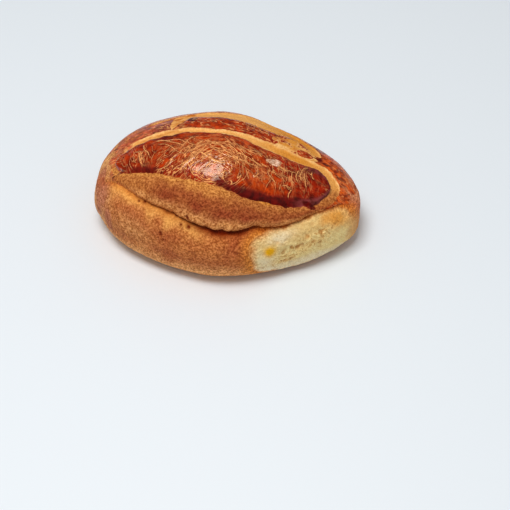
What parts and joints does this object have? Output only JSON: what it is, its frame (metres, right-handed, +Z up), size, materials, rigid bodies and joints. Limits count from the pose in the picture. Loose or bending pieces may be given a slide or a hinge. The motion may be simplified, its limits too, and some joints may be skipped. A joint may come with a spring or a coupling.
{
  "type": "cheese pogaca bun",
  "caption": "Oval baked cheese bun with a crackled egg glaze on top, opened lengthwise slashes, a roll over a front crease and a flat underside to rest on.",
  "frame": {"origin": "on the table, under the middle of the bun's bounding box", "axes": "+X along the bun towards its narrower end, -Y towards the open side with the crease, +Z up"},
  "size_m": [0.1206, 0.0882, 0.0483],
  "materials": {
    "baked_crust": "baked dough, matte golden brown at the sides, glossy mahogany egg glaze on top"
  },
  "bodies": {
    "root": {"pogaca_bun": "baked_crust"}
  },
  "joints": []
}
